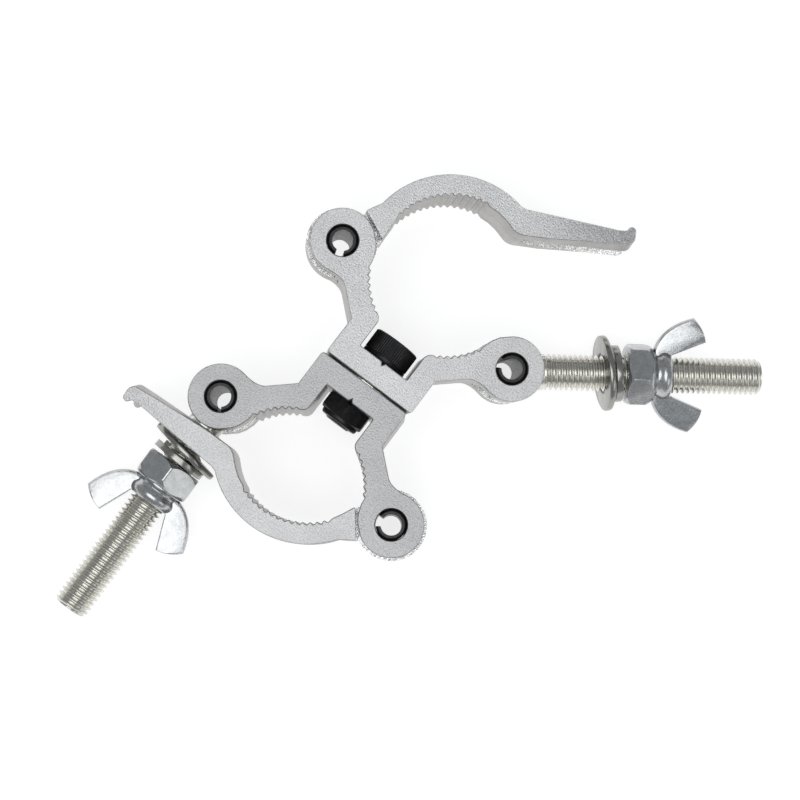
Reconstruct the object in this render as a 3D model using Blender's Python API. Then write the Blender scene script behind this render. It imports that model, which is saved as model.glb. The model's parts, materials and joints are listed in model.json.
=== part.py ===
"""Swivel pipe clamp: two aluminium half couplers held back to back by one swivel bolt.

Each half is a cut length of one extruded section with a hinged jaw, a swing bolt, two washers
and a wing nut. All lengths are in millimetres until a mesh is made, and angles are in degrees.

Section coordinates of a half: u runs from the bolt lug to the jaw lug, v from the joint face to
the tube, w along the extrusion with its zero at mid width.
Hardware coordinates of a swing bolt: h runs from the lug pin along the bolt, s across it in the
section plane, w as above.
"""

import math

import bmesh
import bpy
from mathutils import Matrix, Vector

for old in list(bpy.data.objects):
    bpy.data.objects.remove(old)

MM = 0.001

# extrusion and joint face
WIDTH = 30.0
HALF_GAP = 0.35
ORIGIN = Vector((0.0, 4.1, 15.0))
SWIVEL_TURN = 4.04

# tube seat and lugs
TUBE = (0.0, 41.6)
TOOTH_PITCH = 5.38
TIP_R = 24.3
ROOT_R = 25.1
LUG_U = 34.0
LUG_V = 31.55
EAR_R = 10.5
LUG_SLOT = 13.0
LUG_SLOT_R = 12.0

# web and swivel channel
WEB_U = 16.8
WEB_V = 13.3
WEB_CORNER = 1.2
FLOOR_V = 8.2
CHANNEL_U = 9.25
CHANNEL_LIP = 2.95
SWIVEL_BORE = 5.3

# hinge pins
PIN_R = 5.0
PIN_BORE_R = 3.45
PIN_SEAT_R = 5.1

# jaw
JAW_TEETH = (-0.75, 41.6)
JAW_TIP_R = 24.0
JAW_ROOT_R = 24.8
JAW_BACK = (-0.3, 42.1)
JAW_BACK_R = 30.4
KNUCKLE_R = 11.5
TONGUE = 12.4
FORK_SLOT = 13.0
FORK_ROOT_U = -15.5
ARM_V = 69.6
ARM_ANGLE = 157.0
PRONG_LENGTH = 30.0
PRONG_TWIST = 10.0
TWIST_STEPS = 5

# swing bolt
BOLT_R = 5.97
BOLT_END = 83.6
EYE_R = 9.5
EYE_WIDTH = 12.0

# wing nut
HEX_FLATS = 18.5
HEX_LENGTH = 8.7
NUT_LENGTH = 15.0
NUT_BORE_R = 6.15
WING_ROOT = 4.2
WING_TIP = 2.4

# swivel bolt
SWIVEL_R = 4.95
HEAD_R = 8.0
HEAD_HEIGHT = 8.9
LOCK_FLATS = 15.0
LOCK_HEX = 5.4
LOCK_HEIGHT = 7.0

# rest pose of each half: the jaw's turn from concentric, the bolt's direction, the washers and
# nut along it, and each pin's slot direction and half opening
HALVES = {
    "lower": {
        "jaw_turn": 22.5,
        "bolt_turn": 89.4,
        "flat_at": 19.9,
        "flat_tilt": (9.3, 0.0),
        "spring_at": 22.9,
        "spring_tilt": (5.0, 0.0),
        "spring_split": (25.0, 1.4),
        "nut_at": 26.2,
        "nut_turn": -3.8,
        "pins": {"bolt": (58.0, 6.5), "jaw": (161.0, 23.0)},
    },
    "upper": {
        "jaw_turn": -5.6,
        "bolt_turn": 144.2,
        "flat_at": 31.2,
        "flat_tilt": (-6.2, -4.0),
        "spring_at": 34.9,
        "spring_tilt": (-4.5, 0.0),
        "spring_split": (100.0, 0.4),
        "nut_at": 38.9,
        "nut_turn": 13.0,
        "pins": {"bolt": (-10.0, 20.5), "jaw": (-114.0, 17.5)},
    },
}

FINISHES = {
    "aluminium_body": ((0.80, 0.80, 0.79), 0.35),
    "zinc_steel": ((0.56, 0.56, 0.52), 0.30),
    "black_steel": ((0.02, 0.02, 0.022), 0.35),
    "nylon": ((0.10, 0.16, 0.42), 0.50),
}


def material(name):
    """One Principled material for each finish."""
    if name in bpy.data.materials:
        return bpy.data.materials[name]
    colour, roughness = FINISHES[name]
    made = bpy.data.materials.new(name)
    made.use_nodes = True
    shader = made.node_tree.nodes["Principled BSDF"]
    shader.inputs["Base Color"].default_value = (*colour, 1.0)
    shader.inputs["Roughness"].default_value = roughness
    shader.inputs["Metallic"].default_value = 0.0 if name == "nylon" else 1.0
    return made


def polar(centre, radius, degrees):
    angle = math.radians(degrees)
    return (centre[0] + radius * math.cos(angle), centre[1] + radius * math.sin(angle))


def arc(centre, radius, start, end, steps):
    """Points on a circle from start to end, both included."""
    return [polar(centre, radius, start + (end - start) * i / steps) for i in range(steps + 1)]


def blend(start, bend, end, steps):
    """A soft corner: a quadratic curve that leaves start and meets end in line with bend."""
    points = []
    for i in range(1, steps):
        t = i / steps
        a, b, c = (1 - t) ** 2, 2 * t * (1 - t), t * t
        points.append(tuple(a * start[k] + b * bend[k] + c * end[k] for k in (0, 1)))
    return points


def teeth(centre, tip_r, root_r, first_root, count, samples, lead):
    """Rounded grip teeth: a wave between the root and tip radii, from first_root onwards."""
    middle = (tip_r + root_r) / 2
    swing = (root_r - tip_r) / 2
    points = []
    for i in range(count * samples + 1):
        phase = i / samples
        radius = middle + swing * math.cos(2 * math.pi * phase)
        points.append(polar(centre, radius, first_root + lead * TOOTH_PITCH * phase))
    return points


def body_outline():
    """The extruded section: the u > 0 side is drawn from the base to the channel, then mirrored."""
    lug = (LUG_U, LUG_V)
    ear = arc(lug, EAR_R, -100.0, 125.0, 26)
    flank_end = (24.3, 20.0)
    right = [(0.0, HALF_GAP)]
    right += arc((WEB_U - WEB_CORNER, HALF_GAP + WEB_CORNER), WEB_CORNER, -90.0, 0.0, 4)
    right += [(WEB_U, WEB_V), flank_end]
    right += blend(flank_end, (26.8, 22.2), ear[0], 6)
    right += ear
    right += [(24.8, 37.3), (23.4, 35.0)]
    right += [polar(TUBE, TIP_R, -90.0 + turn) for turn in (70.0, 67.0)]
    right += teeth(TUBE, TIP_R, ROOT_R, -90.0 + 62.0, 6, 6, -1)
    right += arc((CHANNEL_U + CHANNEL_LIP, 17.0), CHANNEL_LIP, 100.0, 180.0, 8)
    right += [(CHANNEL_U, FLOOR_V), (0.8, FLOOR_V)]
    groove = [(0.0, FLOOR_V - 1.1)]
    left = [(-u, v) for u, v in reversed(right[1:])]
    return right + groove + left


def jaw_outline():
    """The jaw closed on its tube: knuckle, back, bolt arm with its hook, then the toothed inside."""
    lug = (LUG_U, LUG_V)
    points = arc(lug, KNUCKLE_R, 152.0, 455.0, 40)
    points += [(32.1, 44.6), (30.7, 46.7)]
    points += arc(JAW_BACK, JAW_BACK_R, 12.0, 107.0, 30)
    points += [(-11.0, 71.3), (-40.1, 81.5), (-42.0, 82.6)]
    points += arc((-43.7, 83.4), 1.4, -10.0, 160.0, 6)
    points += arc((-43.4, 81.1), 2.6, 160.0, 246.0, 6)
    points += [(-39.6, 76.0), (-22.4, 67.0)]
    points += arc((-12.4, 69.2), 6.1, 240.0, 295.0, 6)
    points += [(-6.8, 64.8), (-3.5, 65.5), (-0.5, 65.6)]
    points += teeth(JAW_TEETH, JAW_TIP_R, JAW_ROOT_R, 85.8, 13, 6, -1)
    points += [(22.7, 46.6), (23.1, 42.6), (23.2, 39.4)]
    return points


def wing_outline():
    """One wing in h and s: a curved blade that leans outward from the neck, with a bowed tip."""
    start, shoulder, corner = (9.0, 8.4), (11.3, 16.4), (21.8, 19.2)
    bow, toe, heel = (25.3, 16.2), (26.2, 11.2), (15.0, 6.6)
    points = [(9.0, 6.6), start] + blend(start, shoulder, corner, 6) + [corner]
    points += blend(corner, bow, toe, 4) + [toe]
    points += blend(toe, (19.0, 8.3), heel, 4) + [heel]
    return points


def wing_half(s):
    """Half the blade's thickness at the distance s from the bolt's axis."""
    return (WING_ROOT + (WING_TIP - WING_ROOT) * (s - 6.6) / 13.0) / 2


def finish(name, mesh, slot):
    """Put a mesh into the scene as the object that carries its name."""
    mesh.name = name
    obj = bpy.data.objects.new(name, mesh)
    bpy.context.collection.objects.link(obj)
    if slot:
        mesh.materials.append(material(slot))
    return obj


def prism(name, outline, low, high, slot=None):
    """A counter-clockwise outline in the local XY plane, extruded from z = low to z = high."""
    mesh_maker = bmesh.new()
    bottom = [mesh_maker.verts.new((x * MM, y * MM, low * MM)) for x, y in outline]
    top = [mesh_maker.verts.new((x * MM, y * MM, high * MM)) for x, y in outline]
    mesh_maker.faces.new(list(reversed(bottom)))
    mesh_maker.faces.new(top)
    for i, vert in enumerate(bottom):
        j = (i + 1) % len(bottom)
        mesh_maker.faces.new((vert, bottom[j], top[j], top[i]))
    mesh = bpy.data.meshes.new(name)
    mesh_maker.to_mesh(mesh)
    mesh_maker.free()
    return finish(name, mesh, slot)


def turned(name, stations, steps, slot=None, hollow=False):
    """A body turned about local X from (x, radius) stations; a hollow one closes on its start."""
    mesh_maker = bmesh.new()
    rings = []
    for x, radius in stations:
        ring = []
        for i in range(steps):
            angle = 2 * math.pi * i / steps
            spot = (x * MM, radius * math.cos(angle) * MM, radius * math.sin(angle) * MM)
            ring.append(mesh_maker.verts.new(spot))
        rings.append(ring)
    spans = list(zip(rings, rings[1:]))
    if hollow:
        spans.append((rings[-1], rings[0]))
    else:
        mesh_maker.faces.new(rings[0])
        mesh_maker.faces.new(rings[-1])
    for here, there in spans:
        for i in range(steps):
            j = (i + 1) % steps
            mesh_maker.faces.new((here[i], there[i], there[j], here[j]))
    bmesh.ops.recalc_face_normals(mesh_maker, faces=mesh_maker.faces)
    mesh = bpy.data.meshes.new(name)
    mesh_maker.to_mesh(mesh)
    mesh_maker.free()
    return finish(name, mesh, slot)


def shape(target, tool, operation):
    """Join a tool to the target or cut it away, and keep the result as plain mesh."""
    step = target.modifiers.new("shape", "BOOLEAN")
    step.operation = operation
    step.solver = "EXACT"
    step.object = tool
    depsgraph = bpy.context.evaluated_depsgraph_get()
    result = bpy.data.meshes.new_from_object(target.evaluated_get(depsgraph))
    target.modifiers.clear()
    before = target.data
    target.data = result
    bpy.data.meshes.remove(before)
    bpy.data.objects.remove(tool)


def disc(radius, centre, low, high, steps):
    """A round cutter or boss along local Z."""
    return prism("tool", arc(centre, radius, 0.0, 360.0, steps)[:-1], low, high)


def box(low, high):
    """A plain cutter between two opposite corners."""
    outline = [(low[0], low[1]), (high[0], low[1]), (high[0], high[1]), (low[0], high[1])]
    return prism("tool", outline, low[2], high[2])


def hexagon(flats, turn=0.0):
    """Six corners about the origin, one of them at the turn angle."""
    radius = flats / math.sqrt(3.0)
    return arc((0.0, 0.0), radius, turn, turn + 360.0, 6)[:-1]


def move(x=0.0, y=0.0, z=0.0):
    return Matrix.Translation(Vector((x, y, z)) * MM)


def turn(degrees, axis):
    return Matrix.Rotation(math.radians(degrees), 4, axis)


def half_frame(side):
    """Section coordinates to the part's frame, for one half."""
    if side == "lower":
        return move(*ORIGIN) @ turn(180.0, "X")
    return move(*ORIGIN) @ turn(SWIVEL_TURN, "Y") @ turn(180.0, "Y")


def lay_along_x():
    """Turn an extrusion along Z into one along X, keeping Y."""
    return turn(90.0, "Y")


def make_body(side):
    half = WIDTH / 2
    body = prism(f"{side}_body", body_outline(), -half, half, "aluminium_body")
    for sign in (-1, 1):
        lug = (sign * LUG_U, LUG_V)
        shape(body, disc(LUG_SLOT_R, lug, -LUG_SLOT / 2, LUG_SLOT / 2, 48), "DIFFERENCE")
        shape(body, disc(PIN_SEAT_R, lug, -half - 1, half + 1, 48), "DIFFERENCE")
    bore = disc(SWIVEL_BORE, (0.0, 0.0), -1.0, FLOOR_V + 1.0, 40)
    bore.matrix_world = turn(-90.0, "X")
    shape(body, bore, "DIFFERENCE")
    body.matrix_world = half_frame(side)
    return body


def twist_prongs(jaw):
    """Turn each prong about its outer edge, more towards the tip: the slot's edges sink inwards."""
    angle = math.radians(ARM_ANGLE)
    along = Vector((math.cos(angle), math.sin(angle), 0.0))
    outward = Vector((math.sin(angle), -math.cos(angle), 0.0))
    root = Vector((FORK_ROOT_U - LUG_U, ARM_V - LUG_V, 0.0)) * MM
    edge = WIDTH / 2 * MM
    maker = bmesh.new()
    maker.from_mesh(jaw.data)
    for step in range(TWIST_STEPS):
        cut = root + along * (PRONG_LENGTH * MM * step / TWIST_STEPS)
        parts = maker.verts[:] + maker.edges[:] + maker.faces[:]
        bmesh.ops.bisect_plane(maker, geom=parts, plane_co=cut, plane_no=along)
    moved = set()
    for vert in maker.verts:
        reach = (vert.co - root).dot(along)
        if reach <= 0.0:
            continue
        twist = math.radians(PRONG_TWIST) * min(1.0, reach / (PRONG_LENGTH * MM))
        side = math.copysign(1.0, vert.co.z)
        height = (vert.co - root).dot(outward)
        depth = abs(vert.co.z) - edge
        new_height = height * math.cos(twist) + depth * math.sin(twist)
        new_depth = depth * math.cos(twist) - height * math.sin(twist)
        vert.co += outward * (new_height - height)
        vert.co.z = side * (edge + new_depth)
        moved.update(vert.link_faces)
    bmesh.ops.triangulate(maker, faces=list(moved))
    maker.to_mesh(jaw.data)
    maker.free()


def make_jaw(side, pose):
    """The jaw's own origin is on its hinge axis."""
    half = WIDTH / 2
    outline = [(u - LUG_U, v - LUG_V) for u, v in jaw_outline()]
    jaw = prism(f"{side}_jaw", outline, -half, half, "aluminium_body")
    shoulder = [(0.0, 13.2), (-11.4, 6.7), (-12.5, 4.4), (-12.5, -13.0), (13.0, -13.0), (13.0, 13.2)]
    for low, high in ((-half - 1, -TONGUE / 2), (TONGUE / 2, half + 1)):
        shape(jaw, prism("tool", shoulder, low, high), "DIFFERENCE")
    shape(jaw, disc(PIN_SEAT_R, (0.0, 0.0), -half - 1, half + 1, 48), "DIFFERENCE")
    fork_end = FORK_ROOT_U - LUG_U
    slot = box((-90.0, 25.0, -FORK_SLOT / 2), (fork_end, 65.0, FORK_SLOT / 2))
    shape(jaw, slot, "DIFFERENCE")
    twist_prongs(jaw)
    jaw.matrix_world = half_frame(side) @ move(LUG_U, LUG_V) @ turn(pose["jaw_turn"], "Z")
    return jaw


def bolt_frame(side, pose):
    """Hardware coordinates to the part's frame: local X runs along the swing bolt."""
    return half_frame(side) @ move(-LUG_U, LUG_V) @ turn(pose["bolt_turn"], "Z")


def make_pin(name, place, slot_turn, opening):
    """A roll pin: a C section the full width of the lug, open by this half angle."""
    outer = arc((0.0, 0.0), PIN_R, opening, 360.0 - opening, 44)
    inner = arc((0.0, 0.0), PIN_BORE_R, 357.0 - opening, opening + 3.0, 44)
    pin = prism(name, outer + inner, -WIDTH / 2, WIDTH / 2, "black_steel")
    pin.matrix_world = place @ turn(slot_turn, "Z")
    return pin


def make_bolt(side, pose):
    bolt = disc(EYE_R, (0.0, 0.0), -EYE_WIDTH / 2, EYE_WIDTH / 2, 48)
    bolt.name = f"{side}_swing_bolt"
    bolt.data.materials.append(material("zinc_steel"))
    stations = [(7.0, BOLT_R), (BOLT_END - 1.1, BOLT_R), (BOLT_END, 4.9)]
    shape(bolt, turned("tool", stations, 40), "UNION")
    shape(bolt, disc(PIN_SEAT_R, (0.0, 0.0), -EYE_WIDTH, EYE_WIDTH, 48), "DIFFERENCE")
    bolt.matrix_world = bolt_frame(side, pose)
    return bolt


def make_flat_washer(side, pose):
    thickness = 2.0
    stations = [(0.0, 6.6), (0.0, 12.1), (0.3, 12.45), (thickness - 0.3, 12.45), (thickness, 12.1)]
    stations.append((thickness, 6.6))
    washer = turned(f"{side}_flat_washer", stations, 56, "zinc_steel", hollow=True)
    tilt, lean = pose["flat_tilt"]
    place = move(pose["flat_at"]) @ turn(tilt, "Z") @ turn(lean, "Y")
    washer.matrix_world = bolt_frame(side, pose) @ place
    return washer


def make_spring_washer(side, pose):
    """A split ring; rise is how far apart its two ends stand along the bolt."""
    thickness = 2.2
    split_turn, rise = pose["spring_split"]
    section = [(0.0, 6.3), (0.0, 9.35), (thickness, 9.35), (thickness, 6.3)]
    steps = 44
    gap = 9.0
    mesh_maker = bmesh.new()
    rings = []
    for i in range(steps + 1):
        share = i / steps
        angle = math.radians(gap + (360.0 - 2 * gap) * share)
        lift = rise * (share - 0.5)
        ring = []
        for x, radius in section:
            spot = ((x + lift) * MM, radius * math.cos(angle) * MM, radius * math.sin(angle) * MM)
            ring.append(mesh_maker.verts.new(spot))
        rings.append(ring)
    mesh_maker.faces.new(rings[0])
    mesh_maker.faces.new(rings[-1])
    for here, there in zip(rings, rings[1:]):
        for i in range(4):
            j = (i + 1) % 4
            mesh_maker.faces.new((here[i], there[i], there[j], here[j]))
    bmesh.ops.recalc_face_normals(mesh_maker, faces=mesh_maker.faces)
    mesh = bpy.data.meshes.new("ring")
    mesh_maker.to_mesh(mesh)
    mesh_maker.free()
    washer = finish(f"{side}_spring_washer", mesh, "zinc_steel")
    tilt, lean = pose["spring_tilt"]
    place = move(pose["spring_at"]) @ turn(tilt, "Z") @ turn(lean, "Y") @ turn(split_turn, "X")
    washer.matrix_world = bolt_frame(side, pose) @ place
    return washer


def make_wing_nut(side, pose):
    """Hexagon, round neck and two blades; the wings lie in the nut's XY plane and taper outwards."""
    nut = prism(f"{side}_wing_nut", hexagon(HEX_FLATS), 0.0, HEX_LENGTH, "zinc_steel")
    nut.data.transform(lay_along_x())
    neck = [(HEX_LENGTH - 1.0, 8.3), (HEX_LENGTH + 1.0, 7.9), (NUT_LENGTH, 7.9)]
    shape(nut, turned("tool", neck, 40), "UNION")
    for sign in (-1, 1):
        outline = [(h, sign * s) for h, s in wing_outline()]
        if sign > 0:
            outline.reverse()
        blade = prism("tool", outline, -1.0, 1.0)
        for vert in blade.data.vertices:
            vert.co.z *= wing_half(abs(vert.co.y) / MM)
        shape(nut, blade, "UNION")
    shape(nut, turned("tool", [(-1.0, NUT_BORE_R), (NUT_LENGTH + 1.0, NUT_BORE_R)], 48), "DIFFERENCE")
    place = move(pose["nut_at"]) @ turn(pose["nut_turn"], "X")
    nut.matrix_world = bolt_frame(side, pose) @ place
    return nut


def make_swivel():
    """The bolt stands along the swivel axis, head in the upper channel and nut in the lower one."""
    place = move(*ORIGIN) @ turn(90.0, "Z")
    seat = FLOOR_V + 0.15
    stem_end = -seat - LOCK_HEIGHT - 0.5
    stations = [(stem_end, 4.0), (stem_end + 1.0, SWIVEL_R), (seat, SWIVEL_R)]
    top = seat + HEAD_HEIGHT
    stations += [(seat + 0.01, HEAD_R), (top - 0.4, HEAD_R), (top, HEAD_R - 0.4)]
    bolt = turned("swivel_bolt", stations, 48, "black_steel")
    socket = prism("tool", hexagon(8.0, 30.0), top - 5.0, top + 1.0)
    socket.data.transform(lay_along_x())
    shape(bolt, socket, "DIFFERENCE")
    bolt.matrix_world = place

    nut = prism("swivel_lock_nut", hexagon(LOCK_FLATS, 0.0), 0.0, LOCK_HEX, "black_steel")
    nut.data.transform(lay_along_x())
    collar = [(LOCK_HEX - 1.0, 6.7), (LOCK_HEIGHT - 0.6, 6.7), (LOCK_HEIGHT, 6.1)]
    shape(nut, turned("tool", collar, 40), "UNION")
    shape(nut, turned("tool", [(-1.0, 5.05), (LOCK_HEIGHT + 1.0, 5.05)], 40), "DIFFERENCE")
    insert_seat = [(LOCK_HEX - 1.2, 5.9), (LOCK_HEIGHT - 0.9, 5.9)]
    shape(nut, turned("tool", insert_seat, 40), "DIFFERENCE")
    nut.matrix_world = place @ turn(180.0, "Z") @ move(seat)

    low, high = LOCK_HEX - 1.1, LOCK_HEIGHT - 1.0
    stations = [(low, 5.05), (low, 5.8), (high, 5.8), (high, 5.05)]
    insert = turned("lock_nut_insert", stations, 40, "nylon", hollow=True)
    insert.matrix_world = place @ turn(180.0, "Z") @ move(seat)

    stations = [(-0.2, 5.3), (-0.2, 11.0), (0.2, 11.0), (0.2, 5.3)]
    shim = turned("swivel_shim_washer", stations, 48, "zinc_steel", hollow=True)
    shim.matrix_world = place


for half_name, rest in HALVES.items():
    make_body(half_name)
    make_jaw(half_name, rest)
    make_bolt(half_name, rest)
    make_flat_washer(half_name, rest)
    make_spring_washer(half_name, rest)
    make_wing_nut(half_name, rest)
    jaw_lug = half_frame(half_name) @ move(LUG_U, LUG_V)
    bolt_lug = half_frame(half_name) @ move(-LUG_U, LUG_V)
    make_pin(f"{half_name}_bolt_pin", bolt_lug, *rest["pins"]["bolt"])
    make_pin(f"{half_name}_jaw_pin", jaw_lug, *rest["pins"]["jaw"])
make_swivel()

for obj in bpy.data.objects:
    obj.data.shade_smooth()
    obj.data.set_sharp_from_angle(angle=math.radians(28.0))
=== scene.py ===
"""The looks of the swivel pipe clamp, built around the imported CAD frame.

Lengths are in millimetres until a mesh is made, and angles are in degrees. The floor, lights
and camera are in metres.
Section coordinates of a half: u runs from the bolt lug to the jaw lug, v from the joint face to
the tube, w along the extrusion with its zero at mid width.
Hardware coordinates of a swing bolt: x runs from the lug pin along the bolt (h in the outlines),
y across it in the section plane (s in the outlines), z as w above.
"""

import json
import math

import bmesh
import bpy
from mathutils import Matrix, Vector


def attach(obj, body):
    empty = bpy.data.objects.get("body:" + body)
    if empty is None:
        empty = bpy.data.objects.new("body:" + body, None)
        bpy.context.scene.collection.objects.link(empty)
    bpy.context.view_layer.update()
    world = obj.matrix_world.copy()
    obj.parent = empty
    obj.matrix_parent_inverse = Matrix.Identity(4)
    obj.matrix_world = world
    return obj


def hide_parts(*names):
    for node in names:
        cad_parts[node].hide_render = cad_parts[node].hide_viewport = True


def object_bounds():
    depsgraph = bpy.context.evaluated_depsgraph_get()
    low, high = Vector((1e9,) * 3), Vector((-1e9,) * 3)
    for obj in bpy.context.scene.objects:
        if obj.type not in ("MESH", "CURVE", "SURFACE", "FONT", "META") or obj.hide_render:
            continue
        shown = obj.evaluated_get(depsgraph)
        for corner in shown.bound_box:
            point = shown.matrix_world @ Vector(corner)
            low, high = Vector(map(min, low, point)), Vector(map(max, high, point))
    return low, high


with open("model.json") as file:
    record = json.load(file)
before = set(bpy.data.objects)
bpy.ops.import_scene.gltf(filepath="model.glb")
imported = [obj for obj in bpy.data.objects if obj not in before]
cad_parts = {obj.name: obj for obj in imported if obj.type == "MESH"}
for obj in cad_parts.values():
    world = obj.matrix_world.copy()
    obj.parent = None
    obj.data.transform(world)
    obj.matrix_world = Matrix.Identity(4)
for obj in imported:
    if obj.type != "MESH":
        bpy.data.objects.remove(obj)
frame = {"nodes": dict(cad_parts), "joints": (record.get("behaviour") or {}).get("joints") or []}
cad_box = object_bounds()
joints = {joint["name"]: joint for joint in frame["joints"]}

MM = 0.001

# extrusion and joint face; ORIGIN is where the middle of the joint face stands in the frame
WIDTH = 30.0
HALF_WIDTH = WIDTH / 2
EDGE = 0.28
HALF_GAP = 0.35
ORIGIN = Vector((0.0, 4.1, 15.0))

# tube seat and lugs
TUBE = (0.0, 41.6)
TOOTH_PITCH = 5.38
TIP_R = 24.3
ROOT_R = 25.1
LUG_U = 34.0
LUG_V = 31.55
EAR_R = 10.5
LUG_SLOT = 13.0
LUG_SLOT_R = 12.0

# web and swivel channel
WEB_U = 16.8
WEB_V = 13.3
WEB_CORNER = 1.2
FLOOR_V = 8.2
CHANNEL_U = 9.25
CHANNEL_LIP = 2.95
CHANNEL_LIP_V = 17.0
GROOVE_HALF = 0.8
GROOVE_DEPTH = 1.1
SWIVEL_BORE = 5.3

# hinge pins
PIN_R = 5.0
PIN_BORE_R = 3.45
PIN_SEAT_R = 5.1
PIN_SEAT_MOUTH_R = 6.4
PIN_NARROWING = 0.75
PIN_TAPER = 1.1

# jaw
JAW_TEETH = (-0.75, 41.6)
JAW_TIP_R = 24.0
JAW_ROOT_R = 24.8
JAW_BACK = (-0.3, 42.1)
JAW_BACK_R = 30.4
KNUCKLE_R = 11.5
TONGUE = 12.4
FORK_SLOT = 13.0
FORK_ROOT_U = -15.5
ARM_V = 69.6
ARM_ANGLE = 157.0
PRONG_LENGTH = 30.0
PRONG_TWIST = 10.0
TWIST_STEPS = 12

# swing bolt and its thread; one pitch is given from crest to crest, as the share of the pitch
# and the depth of the cut
BOLT_R = 5.97
BOLT_END = 83.6
BOLT_END_R = 4.9
BOLT_CHAMFER = 2.1
THREAD_START = 11.0
THREAD_RUNOUT = 2.0
PITCH = 1.75
THREAD = ((0.0, 0.0), (0.075, 0.0), (0.115, 0.07), (0.35, 0.91), (0.40, 1.02))
THREAD += ((0.5, 1.05),) + tuple((1.0 - share, depth) for share, depth in reversed(THREAD[1:]))
EYE_R = 9.5
EYE_WIDTH = 12.0

# washers
FLAT_THICKNESS = 2.0
FLAT_R = 12.45
FLAT_BORE_R = 6.6
SPRING_THICKNESS = 2.2
SPRING_R = 9.35
SPRING_BORE_R = 6.3
SPRING_CORNER = 0.22
SPRING_GAP = 8.0

# wing nut
HEX_FLATS = 18.5
HEX_FACET = 0.45
HEX_LENGTH = 8.7
NUT_LENGTH = 15.0
NUT_BORE_R = 6.1
WING_START = 9.0
WING_HEEL = 14.85
WING_ROOT = 4.2
WING_TIP = 2.4
WING_ROOT_S = 6.6
WING_SPAN = 13.0

# swivel bolt and its lock nut
SWIVEL_SEAT = FLOOR_V + 0.15
SWIVEL_R = 4.95
HEAD_R = 8.0
HEAD_HEIGHT = 8.9
KNURL_START = 2.1
KNURL_DEPTH = 0.18
KNURL_COUNT = 60
SOCKET_FLATS = 8.0
SOCKET_DEPTH = 5.0
LOCK_FLATS = 15.0
LOCK_HEX = 5.4
LOCK_HEIGHT = 7.0
LOCK_BORE_R = 5.05
COLLAR_R = 6.7

# rest pose of each half: the jaw's turn from concentric, the bolt's direction, where the washers
# and the nut stand along the bolt and how they lean, the spring washer's split direction and
# rise, and each pin's slot direction and half opening
HALVES = {
    "lower": {
        "jaw_turn": 22.5,
        "bolt_turn": 89.4,
        "flat_at": 19.9,
        "flat_tilt": (9.3, 0.0),
        "spring_at": 22.9,
        "spring_tilt": (5.0, 0.0),
        "spring_split": (25.0, 1.4),
        "nut_at": 26.2,
        "nut_turn": -3.8,
        "pins": {"bolt": (58.0, 6.5), "jaw": (161.0, 23.0)},
    },
    "upper": {
        "jaw_turn": -5.6,
        "bolt_turn": 144.2,
        "flat_at": 31.2,
        "flat_tilt": (-6.2, -4.0),
        "spring_at": 34.9,
        "spring_tilt": (-4.5, 0.0),
        "spring_split": (100.0, 0.4),
        "nut_at": 38.9,
        "nut_turn": 13.0,
        "pins": {"bolt": (-10.0, 20.5), "jaw": (-114.0, 17.5)},
    },
}


# ---------------------------------------------------------------- materials


class Nodes:
    """A short way to write node trees: each call adds a node and returns it."""

    def __init__(self, name):
        self.material = bpy.data.materials.new(name)
        self.material.use_nodes = True
        self.tree = self.material.node_tree
        self.shader = self.tree.nodes["Principled BSDF"]
        self.coords = self.add("ShaderNodeTexCoord").outputs["Object"]

    def add(self, kind, **settings):
        node = self.tree.nodes.new(kind)
        for key, value in settings.items():
            setattr(node, key, value)
        return node

    def link(self, source, target):
        self.tree.links.new(source, target)
        return target

    def noise(self, scale, detail=3.0, roughness=0.5, stretch=(1.0, 1.0, 1.0)):
        mapping = self.add("ShaderNodeMapping")
        mapping.inputs["Scale"].default_value = stretch
        self.link(self.coords, mapping.inputs["Vector"])
        noise = self.add("ShaderNodeTexNoise")
        noise.inputs["Scale"].default_value = scale
        noise.inputs["Detail"].default_value = detail
        noise.inputs["Roughness"].default_value = roughness
        self.link(mapping.outputs["Vector"], noise.inputs["Vector"])
        return noise.outputs["Fac"]

    def ramp(self, source, low, high, start=0.35, end=0.65):
        ramp = self.add("ShaderNodeValToRGB")
        first, last = ramp.color_ramp.elements
        first.position, last.position = start, end
        first.color, last.color = (*low, 1.0), (*high, 1.0)
        self.link(source, ramp.inputs["Fac"])
        return ramp.outputs["Color"]

    def span(self, source, low, high, start=0.3, end=0.7):
        node = self.add("ShaderNodeMapRange")
        limits = (("From Min", start), ("From Max", end), ("To Min", low), ("To Max", high))
        for name, value in limits:
            node.inputs[name].default_value = value
        self.link(source, node.inputs["Value"])
        return node.outputs["Result"]

    def scaled(self, colour, factor):
        """The colour times a grey factor."""
        node = self.add("ShaderNodeVectorMath", operation="SCALE")
        self.link(colour, node.inputs["Vector"])
        self.link(factor, node.inputs["Scale"])
        return node.outputs["Vector"]

    def bump(self, source, strength, distance, normal=None):
        node = self.add("ShaderNodeBump")
        node.inputs["Strength"].default_value = strength
        node.inputs["Distance"].default_value = distance
        self.link(source, node.inputs["Height"])
        if normal is not None:
            self.link(normal, node.inputs["Normal"])
        return node.outputs["Normal"]


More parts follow.
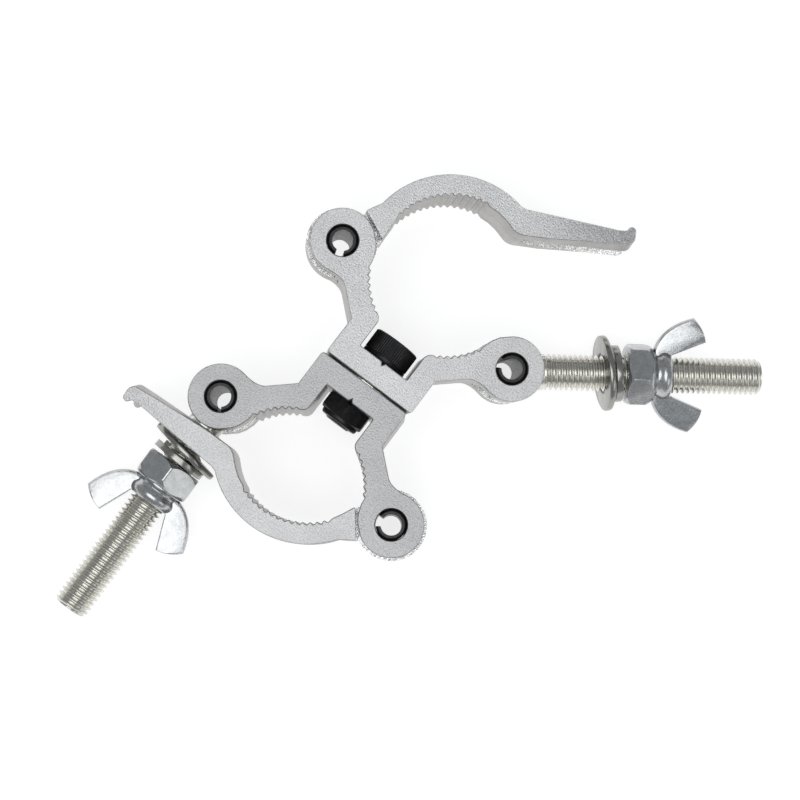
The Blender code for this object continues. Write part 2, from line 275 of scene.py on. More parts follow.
def metal(name, dark, light, rough, patches=60.0, grain=2400.0, speckle=0.0, bump=(0.2, 0.0001),
          lines=None, metallic=1.0):
    """A metal with soft patches of colour, a fine grain and, if lines is set, drawn streaks."""
    n = Nodes(name)
    n.shader.inputs["Metallic"].default_value = metallic
    fine = n.noise(grain, 2.0, 0.6)
    colour = n.ramp(n.noise(patches, 4.0, 0.6), dark, light)
    if speckle:
        colour = n.scaled(colour, n.span(fine, 1.0 - speckle, 1.0))
    n.link(colour, n.shader.inputs["Base Color"])
    n.link(n.span(fine, rough[0], rough[1]), n.shader.inputs["Roughness"])
    normal = n.bump(fine, *bump)
    if lines:
        stretch, scale, strength, distance = lines
        streaks = n.noise(scale, 3.0, 0.65, stretch)
        normal = n.bump(streaks, strength, distance, normal)
    n.link(normal, n.shader.inputs["Normal"])
    return n.material


# painted light and shade: the sawn faces are one aluminium, painted a tone per piece, darker on
# the lower half, to stand in for how the light falls on each piece
SAWN_LIGHT_AND_SHADE_TONES = {"lower_body": 0.58, "lower_jaw": 0.70, "upper_body": 0.75, "upper_jaw": 0.80}


def sawn(piece, painted_tone):
    """Saw-cut aluminium: granular, with faint marks across the section, in a tone of painted light
    and shade for this piece.
    """
    return metal(
        f"sawn_aluminium_{piece}", (0.95 * painted_tone,) * 3, (1.05 * painted_tone,) * 3, (0.36, 0.50),
        grain=2000.0, speckle=0.42, bump=(0.6, 0.00025),
        lines=((1.0, 7.0, 1.0), 700.0, 0.2, 0.0001),
    )


def make_materials():
    """Every finish on the clamp, by name."""
    made = {f"sawn_{piece}": sawn(piece, painted_tone) for piece, painted_tone in SAWN_LIGHT_AND_SHADE_TONES.items()}
    made.update({
        # painted shade: the extruded sides are given a dark tone that stands in for the darker
        # surroundings they reflect; the long streaks and grain are the drawn surface itself
        "drawn": metal(
            "extruded_aluminium", (0.27, 0.262, 0.25), (0.37, 0.362, 0.35), (0.28, 0.42),
            patches=110.0, grain=1700.0, speckle=0.08, bump=(0.15, 0.00006),
            lines=((9.0, 9.0, 0.35), 320.0, 0.35, 0.0002),
        ),
        "milled": metal(
            "milled_aluminium", (0.70, 0.70, 0.69), (0.92, 0.92, 0.91), (0.16, 0.34),
            patches=500.0, grain=1500.0, bump=(0.2, 0.0001),
            lines=((5.0, 0.8, 5.0), 300.0, 0.8, 0.0006),
        ),
        "zinc": metal(
            "zinc_plate", (0.64, 0.63, 0.58), (0.76, 0.75, 0.70), (0.17, 0.27),
            patches=400.0, bump=(0.12, 0.00006),
        ),
        # painted shade: the washers' plating is the bolts' zinc painted darker, to stand in for
        # the darker surroundings their faces reflect
        "zinc_painted_shade": metal(
            "zinc_plate_washer", (0.30, 0.30, 0.28), (0.38, 0.38, 0.36), (0.16, 0.27),
            patches=260.0, grain=1500.0, speckle=0.1, bump=(0.2, 0.0001),
        ),
        "zinc_blue": metal(
            "zinc_plate_nut", (0.45, 0.46, 0.465), (0.55, 0.56, 0.565), (0.18, 0.30),
            patches=420.0, grain=1700.0, speckle=0.08, bump=(0.25, 0.0001),
            lines=((0.5, 6.0, 6.0), 500.0, 0.2, 0.00008),
        ),
        "black": metal(
            "black_oxide", (0.012, 0.012, 0.013), (0.030, 0.030, 0.032), (0.26, 0.44),
            patches=500.0, grain=1600.0, bump=(0.3, 0.00012), metallic=0.4,
        ),
        "nylon": metal(
            "nylon", (0.08, 0.13, 0.34), (0.10, 0.17, 0.42), (0.45, 0.55),
            patches=300.0, grain=900.0, bump=(0.1, 0.0001), metallic=0.0,
        ),
    })
    return made


MATERIALS = make_materials()

# ---------------------------------------------------------------- outlines


def polar(centre, radius, degrees):
    angle = math.radians(degrees)
    return (centre[0] + radius * math.cos(angle), centre[1] + radius * math.sin(angle))


def arc(centre, radius, start, end, steps):
    """Points on a circle from start to end, both included."""
    return [polar(centre, radius, start + (end - start) * i / steps) for i in range(steps + 1)]


def blend(start, bend, end, steps):
    """A soft corner: a quadratic curve that leaves start and meets end in line with bend."""
    points = []
    for i in range(1, steps):
        t = i / steps
        a, b, c = (1 - t) ** 2, 2 * t * (1 - t), t * t
        points.append(tuple(a * start[k] + b * bend[k] + c * end[k] for k in (0, 1)))
    return points


def teeth(centre, tip_r, root_r, first_root, count, samples, lead):
    """Rounded grip teeth: a wave between the root and tip radii, from first_root onwards."""
    middle = (tip_r + root_r) / 2
    swing = (root_r - tip_r) / 2
    points = []
    for i in range(count * samples + 1):
        phase = i / samples
        radius = middle + swing * math.cos(2 * math.pi * phase)
        points.append(polar(centre, radius, first_root + lead * TOOTH_PITCH * phase))
    return points


def body_outline():
    """The extruded section: the u > 0 side runs from the base to the channel, then is mirrored."""
    ear = arc((LUG_U, LUG_V), EAR_R, -100.0, 125.0, 60)
    flank_end = (24.3, 20.0)
    right = [(0.0, HALF_GAP)]
    right += arc((WEB_U - WEB_CORNER, HALF_GAP + WEB_CORNER), WEB_CORNER, -90.0, 0.0, 8)
    right += [(WEB_U, WEB_V), flank_end]
    right += blend(flank_end, (26.8, 22.2), ear[0], 10)
    right += ear
    right += [(24.8, 37.3), (23.4, 35.0)]
    right += [polar(TUBE, TIP_R, -90.0 + turn) for turn in (70.0, 67.0)]
    right += teeth(TUBE, TIP_R, ROOT_R, -90.0 + 62.0, 6, 10, -1)
    right += arc((CHANNEL_U + CHANNEL_LIP, CHANNEL_LIP_V), CHANNEL_LIP, 100.0, 180.0, 14)
    right += arc((CHANNEL_U - 0.5, FLOOR_V + 0.5), 0.5, 0.0, -90.0, 4)
    right += [(GROOVE_HALF, FLOOR_V)]
    groove = [(0.0, FLOOR_V - GROOVE_DEPTH)]
    left = [(-u, v) for u, v in reversed(right[1:])]
    return right + groove + left


def jaw_outline():
    """The jaw closed on its tube: knuckle, back, bolt arm with its hook, then the inside."""
    points = arc((LUG_U, LUG_V), KNUCKLE_R, 152.0, 455.0, 90)
    points += [(32.1, 44.6), (30.7, 46.7)]
    points += arc(JAW_BACK, JAW_BACK_R, 12.0, 107.0, 64)
    points += [(-11.0, 71.3), (-40.1, 81.5), (-42.0, 82.6)]
    points += arc((-43.7, 83.4), 1.4, -10.0, 160.0, 12)
    points += arc((-43.4, 81.1), 2.6, 160.0, 246.0, 12)
    points += [(-39.6, 76.0), (-22.4, 67.0)]
    points += arc((-12.4, 69.2), 6.1, 240.0, 295.0, 14)
    points += [(-6.8, 64.8), (-3.5, 65.5), (-0.5, 65.6)]
    points += teeth(JAW_TEETH, JAW_TIP_R, JAW_ROOT_R, 85.8, 13, 10, -1)
    points += [(22.7, 46.6), (23.1, 42.6), (23.2, 39.4)]
    return points


def inset(outline, amount):
    """Move every side of a counter-clockwise outline inwards by the amount."""
    count = len(outline)
    moved = []
    for i in range(count):
        here = Vector(outline[i])
        back = (here - Vector(outline[i - 1])).normalized()
        ahead = (Vector(outline[(i + 1) % count]) - here).normalized()
        left = Vector((-back.y, back.x)) + Vector((-ahead.y, ahead.x))
        left.normalize()
        reach = amount / max(0.5, left.dot(Vector((-back.y, back.x))))
        moved.append(tuple(here + left * reach))
    return moved


# ---------------------------------------------------------------- mesh making


def finish(name, maker, slots):
    """Turn a bmesh into an object that carries these materials."""
    bmesh.ops.recalc_face_normals(maker, faces=maker.faces)
    mesh = bpy.data.meshes.new(name)
    maker.to_mesh(mesh)
    maker.free()
    obj = bpy.data.objects.new(name, mesh)
    bpy.context.collection.objects.link(obj)
    for slot in slots:
        mesh.materials.append(MATERIALS[slot])
    return obj


def loft(name, rings, slots, wall=0, cap=0, closed=False):
    """Join rings of points with quads; wall and cap are indices into the slots."""
    maker = bmesh.new()
    rows = [[maker.verts.new(Vector(p) * MM) for p in ring] for ring in rings]
    spans = list(zip(rows, rows[1:]))
    if closed:
        spans.append((rows[-1], rows[0]))
    else:
        for row in (rows[0], rows[-1]):
            maker.faces.new(row).material_index = cap
    for here, there in spans:
        for i in range(len(here)):
            j = (i + 1) % len(here)
            maker.faces.new((here[i], there[i], there[j], here[j])).material_index = wall
    return finish(name, maker, slots)


def prism(name, outline, low, high, slots=("drawn",), edge=0.0, cap=0):
    """An outline in local XY extruded along Z, with a small chamfer round both ends."""
    if not edge:
        rings = [[(x, y, z) for x, y in outline] for z in (low, high)]
        return loft(name, rings, slots, cap=cap)
    small = inset(outline, edge)
    levels = ((small, low), (outline, low + edge), (outline, high - edge), (small, high))
    rings = [[(x, y, z) for x, y in ring] for ring, z in levels]
    made = loft(name, rings, slots, cap=cap)
    for face in made.data.polygons:
        if abs(face.normal.z) > 0.3:
            face.material_index = cap
    return made


def turned(name, stations, steps, slots=("zinc",), hollow=False, wave=None):
    """A body turned about local X from (x, radius) stations.

    wave(x, angle) adds to the radius; a hollow body joins its last station to its first.
    """
    rings = []
    for x, radius in stations:
        ring = []
        for i in range(steps):
            angle = 2 * math.pi * i / steps
            r = radius + (wave(x, angle) if wave else 0.0)
            ring.append((x, r * math.cos(angle), r * math.sin(angle)))
        rings.append(ring)
    return loft(name, rings, slots, closed=hollow)


def shape(target, tool, operation):
    """Join a tool to the target or cut it away, keeping the tool's own finish on its faces."""
    step = target.modifiers.new("shape", "BOOLEAN")
    step.operation = operation
    step.solver = "EXACT"
    step.material_mode = "TRANSFER"
    step.object = tool
    depsgraph = bpy.context.evaluated_depsgraph_get()
    result = bpy.data.meshes.new_from_object(target.evaluated_get(depsgraph))
    target.modifiers.clear()
    target.data = result
    bpy.data.objects.remove(tool)


def disc(radius, centre, low, high, steps, slot="drawn"):
    """A round cutter or boss along local Z."""
    return prism("tool", arc(centre, radius, 0.0, 360.0, steps)[:-1], low, high, (slot,))


def box(low, high, slot="milled"):
    """A plain cutter between two opposite corners."""
    outline = [(low[0], low[1]), (high[0], low[1]), (high[0], high[1]), (low[0], high[1])]
    return prism("tool", outline, low[2], high[2], (slot,))


def pin_seat(centre, steps=64):
    """A cutter for a pin bore with a small chamfer at both faces."""
    stations = [(-HALF_WIDTH - 1, PIN_SEAT_MOUTH_R), (-HALF_WIDTH + 0.3, PIN_SEAT_R)]
    stations += [(-x, radius) for x, radius in reversed(stations)]
    tool = turned("tool", stations, steps, ("drawn",))
    tool.data.transform(turn(90.0, "Y"))
    tool.data.transform(move(centre[0], centre[1]))
    return tool


def hexagon(flats, at=0.0):
    """Six corners about the origin, one of them at the given angle."""
    return arc((0.0, 0.0), flats / math.sqrt(3.0), at, at + 360.0, 6)[:-1]


def move(x=0.0, y=0.0, z=0.0):
    return Matrix.Translation(Vector((x, y, z)) * MM)


def turn(degrees, axis):
    return Matrix.Rotation(math.radians(degrees), 4, axis)


def smooth(obj, angle=30.0):
    """Smooth shading, with sharp edges where faces meet at more than the angle."""
    obj.data.shade_smooth()
    obj.data.set_sharp_from_angle(angle=math.radians(angle))


def place(obj, matrix, body, node, angle=30.0):
    """Put a finished piece in its place on a body, standing for its CAD node."""
    smooth(obj, angle)
    obj.matrix_world = matrix
    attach(obj, body)
    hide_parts(node)


# ---------------------------------------------------------------- places


def half_frame(side):
    """Section coordinates to the frame, for one half."""
    if side == "lower":
        return move(*ORIGIN) @ turn(180.0, "X")
    axis = joints["upper_jaw_hinge"]["axis"]
    swivel_turn = math.degrees(math.atan2(axis[0], axis[2]))
    return move(*ORIGIN) @ turn(swivel_turn, "Y") @ turn(180.0, "Y")


def bolt_frame(side, pose):
    """Hardware coordinates of a swing bolt to the frame."""
    return half_frame(side) @ move(-LUG_U, LUG_V) @ turn(pose["bolt_turn"], "Z")


# ---------------------------------------------------------------- pieces


def make_body(side):
    """The extruded half with its two forked lugs and the bore for the swivel bolt."""
    slots = ("drawn", f"sawn_{side}_body")
    body = prism(f"{side}_body_look", body_outline(), -HALF_WIDTH, HALF_WIDTH, slots, EDGE, 1)
    for sign in (-1, 1):
        lug = (sign * LUG_U, LUG_V)
        slot = disc(LUG_SLOT_R, lug, -LUG_SLOT / 2, LUG_SLOT / 2, 96, "milled")
        shape(body, slot, "DIFFERENCE")
        shape(body, pin_seat(lug), "DIFFERENCE")
    bore = disc(SWIVEL_BORE, (0.0, 0.0), -1.0, FLOOR_V + 1.0, 64)
    bore.matrix_world = turn(-90.0, "X")
    shape(body, bore, "DIFFERENCE")
    place(body, half_frame(side), f"{side}_half", f"{side}_body")


def twist_prongs(jaw):
    """Turn each prong about its outer edge, more towards the tip: the slot's edges sink in."""
    angle = math.radians(ARM_ANGLE)
    along = Vector((math.cos(angle), math.sin(angle), 0.0))
    outward = Vector((math.sin(angle), -math.cos(angle), 0.0))
    root = Vector((FORK_ROOT_U - LUG_U, ARM_V - LUG_V, 0.0)) * MM
    edge = HALF_WIDTH * MM
    maker = bmesh.new()
    maker.from_mesh(jaw.data)
    for step in range(TWIST_STEPS):
        cut = root + along * (PRONG_LENGTH * MM * step / TWIST_STEPS)
        parts = maker.verts[:] + maker.edges[:] + maker.faces[:]
        bmesh.ops.bisect_plane(maker, geom=parts, plane_co=cut, plane_no=along)
    moved = set()
    for vert in maker.verts:
        reach = (vert.co - root).dot(along)
        if reach <= 0.0:
            continue
        twist = math.radians(PRONG_TWIST) * min(1.0, reach / (PRONG_LENGTH * MM))
        side = math.copysign(1.0, vert.co.z)
        height = (vert.co - root).dot(outward)
        depth = abs(vert.co.z) - edge
        new_height = height * math.cos(twist) + depth * math.sin(twist)
        new_depth = depth * math.cos(twist) - height * math.sin(twist)
        vert.co += outward * (new_height - height)
        vert.co.z = side * (edge + new_depth)
        moved.update(vert.link_faces)
    bmesh.ops.triangulate(maker, faces=list(moved))
    maker.to_mesh(jaw.data)
    maker.free()


def make_jaw(side, pose):
    """The jaw: its knuckle is milled to a tongue, and its arm is slotted to a fork."""
    outside = HALF_WIDTH + 1
    outline = [(u - LUG_U, v - LUG_V) for u, v in jaw_outline()]
    slots = ("drawn", f"sawn_{side}_jaw")
    jaw = prism(f"{side}_jaw_look", outline, -HALF_WIDTH, HALF_WIDTH, slots, EDGE, 1)
    shoulder = [(0.0, 13.2), (-11.4, 6.7), (-12.5, 4.4)]
    shoulder += [(-12.5, -13.0), (13.0, -13.0), (13.0, 13.2)]
    for low, high in ((-outside, -TONGUE / 2), (TONGUE / 2, outside)):
        shape(jaw, prism("tool", shoulder, low, high, ("milled",)), "DIFFERENCE")
    shape(jaw, disc(PIN_SEAT_R, (0.0, 0.0), -outside, outside, 64), "DIFFERENCE")
    fork_end = FORK_ROOT_U - LUG_U
    slot = box((-90.0, 25.0, -FORK_SLOT / 2), (fork_end, 65.0, FORK_SLOT / 2))
    shape(jaw, slot, "DIFFERENCE")
    twist_prongs(jaw)
    matrix = half_frame(side) @ move(LUG_U, LUG_V) @ turn(pose["jaw_turn"], "Z")
    place(jaw, matrix, f"{side}_jaw_arm", f"{side}_jaw")


def make_pin(matrix, slot_turn, opening, body, node):
    """A rolled spring pin: a C section open by this half angle, narrowed at both ends."""
    rings = []
    shoulder = HALF_WIDTH - PIN_TAPER
    ends = ((-HALF_WIDTH, PIN_NARROWING), (-shoulder, 0.0))
    ends += ((shoulder, 0.0), (HALF_WIDTH, PIN_NARROWING))
    for w, narrow in ends:
        ring = arc((0.0, 0.0), PIN_R - narrow, opening, 360.0 - opening, 72)
        ring += arc((0.0, 0.0), PIN_BORE_R - 0.1 * narrow, 357.0 - opening, opening + 3.0, 72)
        rings.append([(x, y, w) for x, y in ring])
    pin = loft(f"{node}_look", rings, ("black",))
    place(pin, matrix @ turn(slot_turn, "Z"), body, node)


def make_thread(start, end):
    """A right-hand thread whose rows follow the helix, cut to length with a chamfered end.

    The last point of a row joins the first point of the row one pitch further on.
    """
    steps = 60
    pitch_rows = len(THREAD)
    turns = int((end - start) / PITCH) + 2
    origin = start - PITCH
    maker = bmesh.new()
    rows = []
    for k in range(turns * pitch_rows + 1):
        share, depth = THREAD[k % pitch_rows]
        row = []
        for i in range(steps):
            x = origin + PITCH * (k // pitch_rows + share + i / steps)
            share_cut = min(1.0, max(0.0, (x - start - 0.6) / THREAD_RUNOUT))
            radius = BOLT_R - depth * share_cut
            angle = 2 * math.pi * i / steps
            spot = Vector((x, radius * math.cos(angle), radius * math.sin(angle)))
            row.append(maker.verts.new(spot * MM))
        rows.append(row)
    for k in range(len(rows) - 1 - pitch_rows):
        for i in range(steps):
            here, there = rows[k], rows[k + 1]
            if i + 1 < steps:
                maker.faces.new((here[i], there[i], there[i + 1], here[i + 1]))
            else:
                here_next, there_next = rows[k + pitch_rows][0], rows[k + 1 + pitch_rows][0]
                maker.faces.new((here[i], there[i], there_next, here_next))
    last = len(rows) - 1 - pitch_rows
    for k, x in ((0, origin), (last, origin + PITCH * (turns - 0.5))):
        rim = rows[k] + [rows[k + step][0] for step in range(pitch_rows, 0, -1)]
        hub = maker.verts.new(Vector((x, 0.0, 0.0)) * MM)
        for i, vert in enumerate(rim):
            maker.faces.new((vert, rim[(i + 1) % len(rim)], hub))
    loose = [vert for vert in maker.verts if not vert.link_faces]
    bmesh.ops.delete(maker, geom=loose, context="VERTS")
    thread = finish("tool", maker, ("zinc",))
    blank = [(start, BOLT_R + 1.0), (end - BOLT_CHAMFER, BOLT_R + 1.0), (end, BOLT_END_R)]
    shape(thread, turned("tool", blank, 72), "INTERSECT")
    return thread


def make_bolt(side, pose):
    """Eye bolt: the eye sits in the lug, and a rolled thread runs the rest of the way."""
    shank = [(6.0, BOLT_R - 0.02), (THREAD_START + 0.3, BOLT_R - 0.02)]
    bolt = make_thread(THREAD_START, BOLT_END)
    bolt.name = f"{side}_swing_bolt_look"
    eye = disc(EYE_R, (0.0, 0.0), -EYE_WIDTH / 2, EYE_WIDTH / 2, 72, "zinc")
    shape(eye, turned("tool", shank, 60), "UNION")
    shape(eye, disc(PIN_SEAT_R, (0.0, 0.0), -EYE_WIDTH, EYE_WIDTH, 64, "zinc"), "DIFFERENCE")
    shape(bolt, eye, "UNION")
    place(bolt, bolt_frame(side, pose), f"{side}_bolt", f"{side}_swing_bolt", 80.0)


def make_flat_washer(side, pose):
    """A punched ring: rounded outside, with a small break at its bore."""
    top = FLAT_THICKNESS
    stations = [(0.25, FLAT_BORE_R), (0.0, FLAT_BORE_R + 0.25), (0.0, FLAT_R - 0.45)]
    stations += [(0.1, FLAT_R - 0.2), (0.35, FLAT_R - 0.03), (top / 2, FLAT_R)]
    stations += [(top - 0.35, FLAT_R - 0.03), (top - 0.1, FLAT_R - 0.2), (top, FLAT_R - 0.45)]
    stations += [(top, FLAT_BORE_R + 0.1), (top - 0.1, FLAT_BORE_R)]
    washer = turned(f"{side}_flat_washer_look", stations, 96, ("zinc_painted_shade",), hollow=True)
    tilt, lean = pose["flat_tilt"]
    matrix = bolt_frame(side, pose) @ move(pose["flat_at"]) @ turn(tilt, "Z") @ turn(lean, "Y")
    place(washer, matrix, f"{side}_washers", f"{side}_flat_washer", 40.0)


def make_spring_washer(side, pose):
    """A split ring; rise is how far apart its two ends stand along the bolt."""
    split_turn, rise = pose["spring_split"]
    low, high = SPRING_CORNER, SPRING_THICKNESS - SPRING_CORNER
    inner, outer = SPRING_BORE_R + SPRING_CORNER, SPRING_R - SPRING_CORNER
    section = []
    corners = ((low, outer, 90.0), (low, inner, 180.0), (high, inner, 270.0), (high, outer, 0.0))
    for x, r, first in corners:
        section += [polar((x, r), SPRING_CORNER, first + 30.0 * k) for k in range(4)]
    rings = []
    steps = 90
    for i in range(steps + 1):
        share = i / steps
        angle = math.radians(SPRING_GAP + (360.0 - 2 * SPRING_GAP) * share)
        lift = rise * (share - 0.5)
        rings.append([(x + lift, r * math.cos(angle), r * math.sin(angle)) for x, r in section])
    washer = loft(f"{side}_spring_washer_look", rings, ("zinc_painted_shade",))
    tilt, lean = pose["spring_tilt"]
    matrix = bolt_frame(side, pose) @ move(pose["spring_at"]) @ turn(tilt, "Z") @ turn(lean, "Y")
    matrix = matrix @ turn(split_turn, "X")
    place(washer, matrix, f"{side}_washers", f"{side}_spring_washer", 40.0)


def wing_outline(draft):
    """One wing in h and s; draft 0 is its edge at mid thickness, draft 1 the edge of its face."""
    outer, tip, inner = 1.3 * draft, 0.35 * draft, 0.5 * draft
    start = (WING_START + outer, 8.4)
    shoulder = (11.3 + outer, 16.4 - outer)
    corner = (21.8 - tip, 19.2 - outer)
    bow = (25.3 - tip, 16.2)
    toe = (26.2 - tip, 11.2 + inner)
    heel = (WING_HEEL, 6.6 + inner)
    points = [(WING_START + outer, 6.3), start] + blend(start, shoulder, corner, 12) + [corner]
    points += blend(corner, bow, toe, 8) + [toe]
    points += blend(toe, (19.0, 8.3 + inner), heel, 6) + [heel, (WING_HEEL, 6.3)]
    return points


def wing_half(s):
    """Half the blade's thickness at the distance s from the bolt's axis."""
    return (WING_ROOT + (WING_TIP - WING_ROOT) * (s - WING_ROOT_S) / WING_SPAN) / 2


def blunt_hexagon(flats, facet):
    """A hexagon whose six corners are cut to narrow facets."""
    corners = hexagon(flats)
    points = []
    for i, corner in enumerate(corners):
        for other in (corners[i - 1], corners[(i + 1) % 6]):
            away = (Vector(other) - Vector(corner)).normalized()
            points.append(tuple(Vector(corner) + away * facet * 0.577))
    return points


def make_wing_nut(side, pose):
    """Chamfered hexagon, grooved neck with a round hub, and two blades in the nut's XY plane."""
    outline = blunt_hexagon(HEX_FLATS, HEX_FACET)
    nut = prism(f"{side}_wing_nut_look", outline, 0.0, HEX_LENGTH, ("zinc_blue",))
    nut.data.transform(turn(90.0, "Y"))
    barrel = [(-0.1, 8.9), (0.3, 9.5), (0.8, 10.0), (1.6, 10.6), (2.0, 10.75)]
    barrel += [(HEX_LENGTH - 3.0, 10.75), (HEX_LENGTH - 2.0, 10.4), (HEX_LENGTH - 1.0, 9.85)]
    barrel += [(HEX_LENGTH - 0.3, 9.2), (HEX_LENGTH + 0.1, 8.6)]
    shape(nut, turned("tool", barrel, 96, ("zinc_blue",)), "INTERSECT")
    neck = [(HEX_LENGTH - 1.0, 8.2), (HEX_LENGTH + 0.3, 8.1), (9.5, 7.4), (10.1, 7.1)]
    neck += [(10.7, 7.15), (11.3, 7.5), (11.9, 7.9), (12.6, 8.05), (13.4, 7.95)]
    neck += [(14.1, 7.6), (14.7, 7.1), (NUT_LENGTH, 6.6)]
    shape(nut, turned("tool", neck, 72, ("zinc_blue",)), "UNION")
    drafts = [(1.0, -1.0), (0.5, -0.93), (0.12, -0.45), (0.0, 0.0)]
    drafts += [(draft, -level) for draft, level in reversed(drafts[:-1])]
    for sign in (-1, 1):
        rings = []
        for draft, level in drafts:
            rings.append([(h, sign * s, level * wing_half(s)) for h, s in wing_outline(draft)])
        shape(nut, loft("tool", rings, ("zinc_blue",)), "UNION")
    bore = [(-1.0, NUT_BORE_R + 1.3), (0.8, NUT_BORE_R), (NUT_LENGTH - 0.6, NUT_BORE_R)]
    bore += [(NUT_LENGTH + 1.0, NUT_BORE_R + 1.6)]
    shape(nut, turned("tool", bore, 72, ("zinc_blue",)), "DIFFERENCE")
    matrix = bolt_frame(side, pose) @ move(pose["nut_at"]) @ turn(pose["nut_turn"], "X")
    place(nut, matrix, f"{side}_nut", f"{side}_wing_nut")


def knurl(x, angle):
    """Straight knurling round the socket head, with a plain band under it."""
    if x < SWIVEL_SEAT + KNURL_START or x > SWIVEL_SEAT + HEAD_HEIGHT - 0.35:
        return 0.0
    return -KNURL_DEPTH * (0.5 + 0.5 * math.cos(angle * KNURL_COUNT))


def make_swivel():
    """The socket-head bolt through both halves, and the lock nut on its far end."""
    matrix = move(*ORIGIN) @ turn(90.0, "Z")
    seat = SWIVEL_SEAT
    stem_end = -seat - LOCK_HEIGHT - 0.5
    top = seat + HEAD_HEIGHT
    stations = [(stem_end, SWIVEL_R - 0.85), (stem_end + 0.9, SWIVEL_R)]
    stations += [(seat - 0.01, SWIVEL_R), (seat, HEAD_R - 0.2)]
    stations += [(seat + 0.2, HEAD_R - 0.02), (seat + 1.75, HEAD_R - 0.02)]
    stations += [(seat + 1.85, HEAD_R - 0.25), (seat + 2.05, HEAD_R - 0.25)]
    stations += [(seat + 2.15, HEAD_R), (top - 0.4, HEAD_R)]
    stations += [(top - 0.3, HEAD_R - 0.05), (top, HEAD_R - 0.4)]
    bolt = turned("swivel_bolt_look", stations, 480, ("black",), wave=knurl)
    outline = hexagon(SOCKET_FLATS, 30.0)
    socket = prism("tool", outline, top - SOCKET_DEPTH, top + 1.0, ("black",))
    socket.data.transform(turn(90.0, "Y"))
    shape(bolt, socket, "DIFFERENCE")
    place(bolt, matrix, "lower_half", "swivel_bolt", 50.0)

    nut = prism("swivel_lock_nut_look", hexagon(LOCK_FLATS), 0.0, LOCK_HEX, ("black",))
    nut.data.transform(turn(90.0, "Y"))
    barrel = [(-0.1, 7.9), (0.6, 8.7), (LOCK_HEX - 1.1, 8.7), (LOCK_HEX + 0.1, 7.1)]
    shape(nut, turned("tool", barrel, 64, ("black",)), "INTERSECT")
    collar = [(LOCK_HEX - 1.0, COLLAR_R), (LOCK_HEIGHT - 1.0, COLLAR_R)]
    collar += [(LOCK_HEIGHT - 0.4, COLLAR_R - 0.2), (LOCK_HEIGHT - 0.1, COLLAR_R - 0.5)]
    collar += [(LOCK_HEIGHT, COLLAR_R - 0.9)]
    shape(nut, turned("tool", collar, 64, ("black",)), "UNION")
    groove_r = LOCK_BORE_R + 0.8
    bore = [(-1.0, LOCK_BORE_R), (LOCK_HEX - 1.2, LOCK_BORE_R), (LOCK_HEX - 1.19, groove_r)]
    bore += [(LOCK_HEIGHT - 0.9, groove_r), (LOCK_HEIGHT - 0.89, LOCK_BORE_R)]
    bore += [(LOCK_HEIGHT + 1.0, LOCK_BORE_R)]
    shape(nut, turned("tool", bore, 64, ("black",)), "DIFFERENCE")
    flipped = matrix @ turn(180.0, "Z") @ move(seat)
    place(nut, flipped, "lower_half", "swivel_lock_nut")


for half_name, rest in HALVES.items():
    make_body(half_name)
    make_jaw(half_name, rest)
    make_bolt(half_name, rest)
    make_flat_washer(half_name, rest)
    make_spring_washer(half_name, rest)
    make_wing_nut(half_name, rest)
    for kind, u in (("bolt", -LUG_U), ("jaw", LUG_U)):
        lug = half_frame(half_name) @ move(u, LUG_V)
        make_pin(lug, *rest["pins"][kind], f"{half_name}_half", f"{half_name}_{kind}_pin")
make_swivel()

for node_name, finish_name in (("lock_nut_insert", "nylon"), ("swivel_shim_washer", "zinc")):
    frame["nodes"][node_name].data.materials.clear()
    frame["nodes"][node_name].data.materials.append(MATERIALS[finish_name])

# ---------------------------------------------------------------- stage

# metres
FLOOR_CLEARANCE = 0.0005
FLOOR_REACH = 3.0


def add_floor(height):
    """A white floor that glows a little, so that it stays white beside the clamp."""
    maker = bmesh.new()
    reach = FLOOR_REACH
    corners = ((-reach, -reach), (reach, -reach), (reach, reach), (-reach, reach))
    maker.faces.new([maker.verts.new((x, y, height)) for x, y in corners])
    mesh = bpy.data.meshes.new("floor")
    maker.to_mesh(mesh)
    maker.free()
    floor = bpy.data.objects.new("floor", mesh)
    bpy.context.collection.objects.link(floor)
    paint = bpy.data.materials.new("floor")
    paint.use_nodes = True
    shader = paint.node_tree.nodes["Principled BSDF"]
    shader.inputs["Base Color"].default_value = (0.5, 0.5, 0.5, 1.0)
    shader.inputs["Roughness"].default_value = 0.9
    shader.inputs["Specular IOR Level"].default_value = 0.0
    shader.inputs["Emission Color"].default_value = (1.0, 1.0, 1.0, 1.0)
    shader.inputs["Emission Strength"].default_value = 0.75
    mesh.materials.append(paint)


def seen_spot(right, up, height):
    """A place given in metres to the right of the clamp, above it and over it, as it is seen."""
    return Vector((0.8 * right - 0.6 * up, 0.6 * right + 0.8 * up, height))


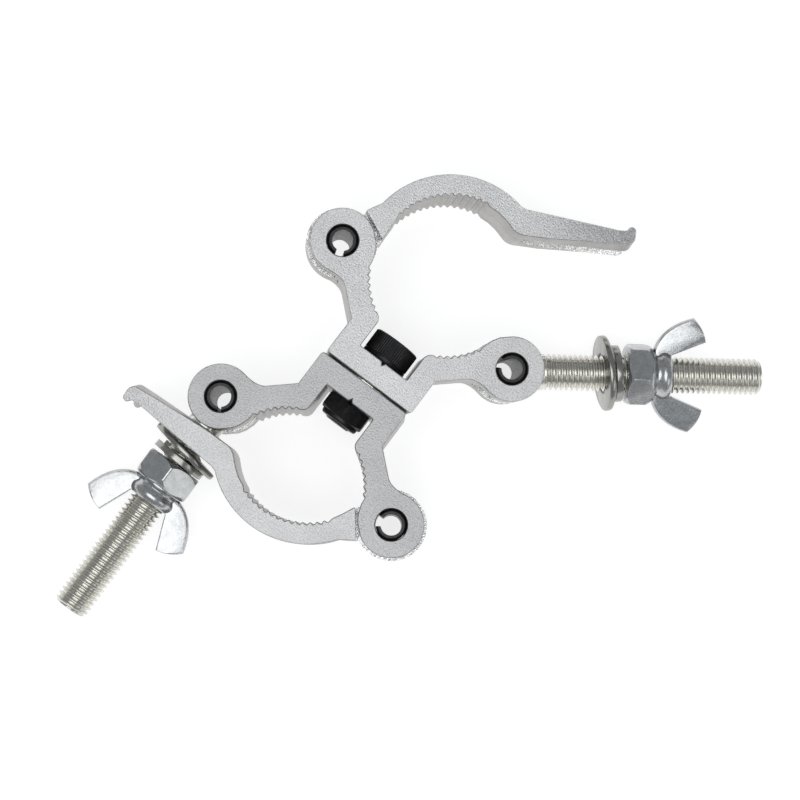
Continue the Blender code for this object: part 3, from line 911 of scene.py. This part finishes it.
def add_light(name, spot, size, watts):
    """A rectangular lamp that faces the frame's origin."""
    data = bpy.data.lights.new(name, "AREA")
    data.shape = "RECTANGLE"
    data.size, data.size_y = size
    data.energy = watts
    lamp = bpy.data.objects.new(name, data)
    bpy.context.collection.objects.link(lamp)
    lamp.location = spot
    lamp.rotation_euler = (-spot).to_track_quat("-Z", "Y").to_euler()


def add_camera():
    """The viewpoint stands 0.68 m over the clamp, nearly square to its faces."""
    spin = Vector((2.9102, 0.9724, -0.0236))
    look = Matrix.Rotation(spin.length, 3, spin.normalized())
    offset = Vector((-11.118, -4.8367, 675.2639))
    spot = (look.transposed() @ -offset + ORIGIN) * MM
    flip = Matrix(((1, 0, 0), (0, -1, 0), (0, 0, -1)))
    data = bpy.data.cameras.new("camera")
    data.sensor_fit = "HORIZONTAL"
    data.sensor_width = 36.0
    data.lens = 93.25
    data.clip_start = 0.01
    camera = bpy.data.objects.new("camera", data)
    bpy.context.collection.objects.link(camera)
    camera.matrix_world = Matrix.Translation(spot) @ (look.transposed() @ flip).to_4x4()
    bpy.context.scene.camera = camera


def make_world():
    """A studio dome: neutral towards the walls, a little darker and cooler overhead."""
    world = bpy.data.worlds.new("studio")
    bpy.context.scene.world = world
    world.use_nodes = True
    tree = world.node_tree
    coords = tree.nodes.new("ShaderNodeTexCoord")
    split = tree.nodes.new("ShaderNodeSeparateXYZ")
    ramp = tree.nodes.new("ShaderNodeValToRGB")
    tree.links.new(coords.outputs["Generated"], split.inputs["Vector"])
    tree.links.new(split.outputs["Z"], ramp.inputs["Fac"])
    tree.links.new(ramp.outputs["Color"], tree.nodes["Background"].inputs["Color"])
    low, high = ramp.color_ramp.elements
    low.position, high.position = 0.0, 0.75
    low.color = (0.40, 0.40, 0.40, 1.0)
    high.color = (0.33, 0.345, 0.36, 1.0)


add_floor(cad_box[0][2] - FLOOR_CLEARANCE)
add_light("key", seen_spot(-0.1, -0.15, 1.1), (0.9, 0.75), 4.2)
add_light("right_fill", seen_spot(0.8, -0.6, 0.6), (0.5, 0.5), 0.8)
add_camera()
make_world()
bpy.context.scene.view_settings.view_transform = "Standard"
